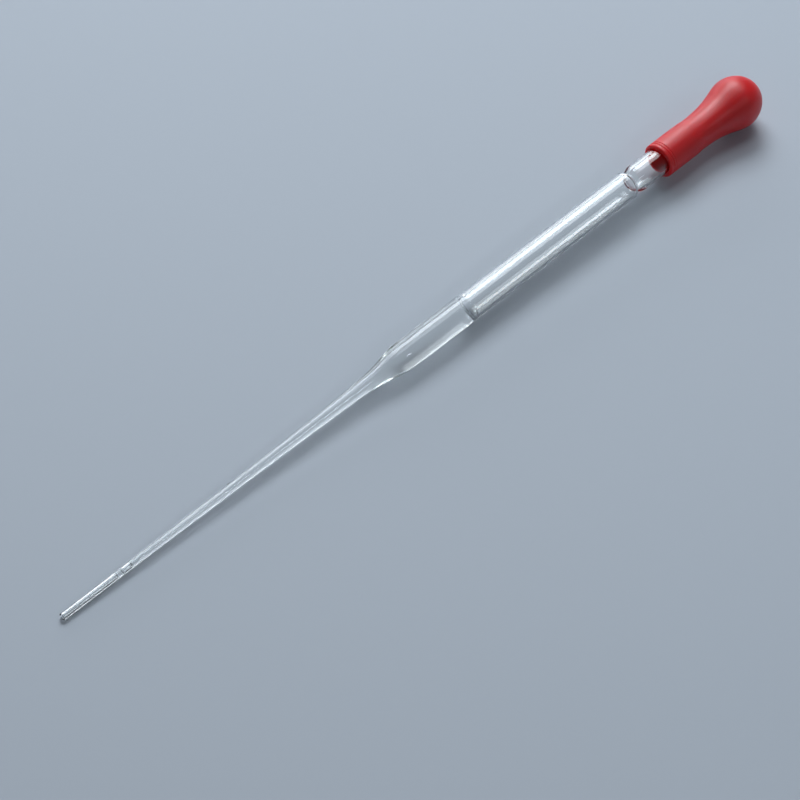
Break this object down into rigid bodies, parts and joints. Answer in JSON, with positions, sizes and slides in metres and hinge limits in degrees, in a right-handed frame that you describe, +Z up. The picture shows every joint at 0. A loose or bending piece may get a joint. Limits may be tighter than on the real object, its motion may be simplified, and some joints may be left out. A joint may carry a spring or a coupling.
{
  "type": "glass dropper pipette with a rubber teat",
  "caption": "Slender glass dropper pipette with a drawn tip, a pinched barrel and a rubber teat that draws up and lets out liquid in drops. It lies flat and holds clear water.",
  "frame": {"origin": "centre of the bounding box, at its bottom, on the surface that the pipette lies on", "axes": "+X along the pipette from the tip to the bulb, +Z up, +Y to the left of +X"},
  "size_m": [0.2236, 0.013, 0.013],
  "materials": {
    "clear_glass": "clear colourless glass, flame-drawn and fire-polished at both ends",
    "red_rubber": "satin moulded red rubber with a soft sheen",
    "clear_water": "clear still water"
  },
  "bodies": {
    "root": {"glass_tube": "clear_glass", "rubber_teat": "red_rubber", "drawn_water": "clear_water"}
  },
  "joints": []
}
